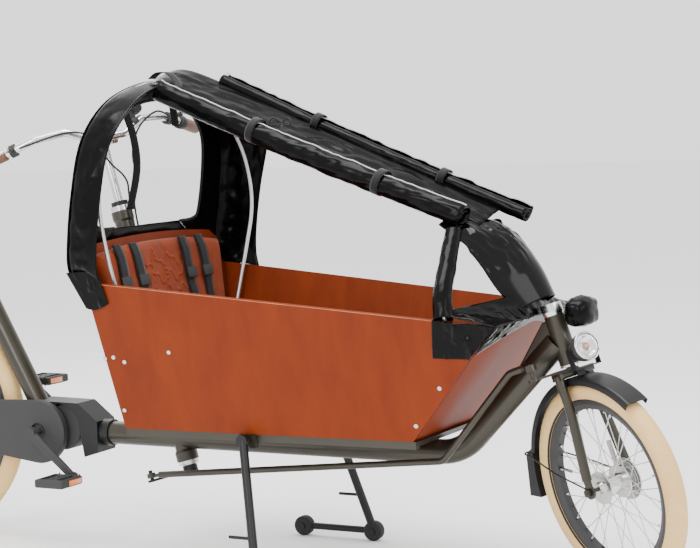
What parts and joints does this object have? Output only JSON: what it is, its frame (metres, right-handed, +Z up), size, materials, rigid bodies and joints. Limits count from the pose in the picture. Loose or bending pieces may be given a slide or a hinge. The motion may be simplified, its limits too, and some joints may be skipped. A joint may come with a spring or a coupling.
{
  "type": "cargo bicycle",
  "caption": "Front-loading cargo bicycle with a wooden box between the front wheel and the rider, rod steering, a rolled-up rain canopy, mid motor and a wide double-footed stand.",
  "frame": {"origin": "on the ground under the middle of the whole bicycle, as it stands on its stand", "axes": "+X forward, towards the front wheel; +Y to the rider's left; +Z up"},
  "size_m": [2.5578, 0.7064, 1.2484],
  "materials": {
    "frame_paint": "dark olive brown metallic paint, satin",
    "black_steel": "black powder coat, satin",
    "plain_steel": "plain steel, brushed",
    "silver": "satin silver",
    "rim_black": "black anodised, satin",
    "ply_stained": "orange-brown stained plywood, satin lacquer",
    "canopy_fabric": "black coated fabric, glossy folds",
    "pad_fabric": "orange-red padded fabric, raised pattern",
    "webbing": "black webbing",
    "tyre_cream": "cream tan tyre",
    "black_plastic": "black plastic, matte",
    "black_rubber": "black rubber",
    "grip_leather": "dark brown leather",
    "lamp_clear": "clear lamp glass",
    "lamp_red": "red lamp plastic, glossy"
  },
  "bodies": {
    "frame": {"main_frame_tube": "frame_paint", "column_tube": "frame_paint", "headset_cups": "silver", "seat_tube": "frame_paint", "rear_stays": "frame_paint", "motor_bracket": "black_steel", "motor_unit": "black_plastic", "chain_case": "black_plastic", "chain": "plain_steel", "platform_frame": "frame_paint", "side_panel_right": "ply_stained", "side_panel_left": "ply_stained", "front_panel": "ply_stained", "back_panel": "ply_stained", "floor_panel": "ply_stained", "panel_bolts": "plain_steel", "seat_back_pad": "pad_fabric", "harness_straps": "webbing", "canopy_poles": "plain_steel", "canopy_rear_wall": "canopy_fabric", "canopy_roll_right": "canopy_fabric", "canopy_roll_left": "canopy_fabric", "canopy_front_window": "canopy_fabric", "canopy_apron": "canopy_fabric", "rear_mudguard": "black_steel", "rear_brake": "plain_steel", "rear_carrier": "frame_paint", "tail_light": "lamp_red"},
    "steering": {"column_shaft": "black_steel", "stem": "silver", "handlebar": "silver", "grips": "grip_leather", "bar_controls": "black_plastic", "control_cables": "black_rubber"},
    "brake_lever_right": {"brake_lever_right": "silver"},
    "brake_lever_left": {"brake_lever_left": "silver"},
    "twist_shifter": {"twist_shifter": "black_plastic"},
    "fork": {"fork": "black_steel", "front_mudguard": "black_steel", "front_brake": "plain_steel"},
    "headlamp": {"headlamp_body": "black_plastic", "headlamp_lens": "lamp_clear"},
    "front_wheel": {"front_tyre": "tyre_cream", "front_rim": "rim_black", "front_hub": "silver", "front_spokes": "plain_steel"},
    "rear_wheel": {"rear_tyre": "tyre_cream", "rear_rim": "rim_black", "rear_hub": "silver", "rear_spokes": "plain_steel"},
    "steer_rod": {"steer_rod": "frame_paint"},
    "crank": {"crankset": "silver"},
    "pedal_right": {"pedal_right": "black_plastic"},
    "pedal_left": {"pedal_left": "black_plastic"},
    "stand": {"stand_frame": "black_steel", "stand_feet": "black_rubber"},
    "saddle": {"seat_post": "plain_steel", "saddle": "grip_leather"},
    "battery": {"battery": "black_plastic"},
    "bench": {"bench_board": "ply_stained"}
  },
  "joints": [
    {"name": "steering", "type": "hinge", "parent": "frame", "child": "steering", "pos_m": [-0.098, 0, 0.244], "axis": [-0.2622, 0, 0.965], "range_deg": [0, 64]},
    {"name": "fork_turn", "type": "hinge", "parent": "frame", "child": "fork", "pos_m": [1.053, 0, 0.253], "axis": [-0.319, 0, 0.9478], "range_deg": [0, 64]},
    {"name": "steer_rod_swing", "type": "hinge", "parent": "steering", "child": "steer_rod", "pos_m": [-0.15215, -0.09329, 0.221], "axis": [-0.2622, 0, 0.965], "range_deg": [-64, 0]},
    {"name": "front_wheel_spin", "type": "hinge", "parent": "fork", "child": "front_wheel", "pos_m": [1.053, 0, 0.253], "axis": [0.5022, 0.848, 0.169], "continuous": true},
    {"name": "rear_wheel_spin", "type": "hinge", "parent": "frame", "child": "rear_wheel", "pos_m": [-0.947, 0, 0.327], "axis": [0, 1, 0], "continuous": true},
    {"name": "crank_turn", "type": "hinge", "parent": "frame", "child": "crank", "pos_m": [-0.527, 0, 0.308], "axis": [0, 1, 0], "continuous": true},
    {"name": "pedal_right_spin", "type": "hinge", "parent": "crank", "child": "pedal_right", "pos_m": [-0.39489, -0.155, 0.20102], "axis": [0, 1, 0], "continuous": true},
    {"name": "pedal_left_spin", "type": "hinge", "parent": "crank", "child": "pedal_left", "pos_m": [-0.65911, 0.155, 0.41498], "axis": [0, 1, 0], "continuous": true},
    {"name": "brake_lever_right_pull", "type": "hinge", "parent": "steering", "child": "brake_lever_right", "pos_m": [-0.45982, -0.23119, 1.05812], "axis": [-0.2622, 0, 0.965], "range_deg": [-14, 0], "stiffness_Nm_per_rad": 1},
    {"name": "brake_lever_left_pull", "type": "hinge", "parent": "steering", "child": "brake_lever_left", "pos_m": [-0.18783, 0.18429, 1.13827], "axis": [-0.2622, 0, 0.965], "range_deg": [0, 14], "stiffness_Nm_per_rad": 1},
    {"name": "twist_shift", "type": "hinge", "parent": "steering", "child": "twist_shifter", "pos_m": [-0.2423, 0.25433, 1.11129], "axis": [0.1262, -0.9758, 0.1783], "range_deg": [-90, 0]},
    {"name": "headlamp_tilt", "type": "hinge", "parent": "fork", "child": "headlamp", "pos_m": [0.99899, -0.03127, 0.57035], "axis": [0.5022, 0.848, 0.169], "range_deg": [-12, 12]},
    {"name": "stand_fold", "type": "hinge", "parent": "frame", "child": "stand", "pos_m": [0.203, 0, 0.348], "axis": [0, 1, 0], "range_deg": [0, 80]},
    {"name": "saddle_height", "type": "slide", "parent": "frame", "child": "saddle", "axis": [-0.4848, 0, 0.8746], "range_m": [-0.06, 0.08]},
    {"name": "battery_slide", "type": "slide", "parent": "frame", "child": "battery", "axis": [-1, 0, 0], "range_m": [0, 0.36]},
    {"name": "bench_fold", "type": "hinge", "parent": "frame", "child": "bench", "pos_m": [-0.086, 0, 0.551], "axis": [0, -1, 0], "range_deg": [0, 60]}
  ],
  "couplings": [
    {"joint": "fork_turn", "follows": "steering", "ratio": 1},
    {"joint": "steer_rod_swing", "follows": "steering", "ratio": -1}
  ]
}
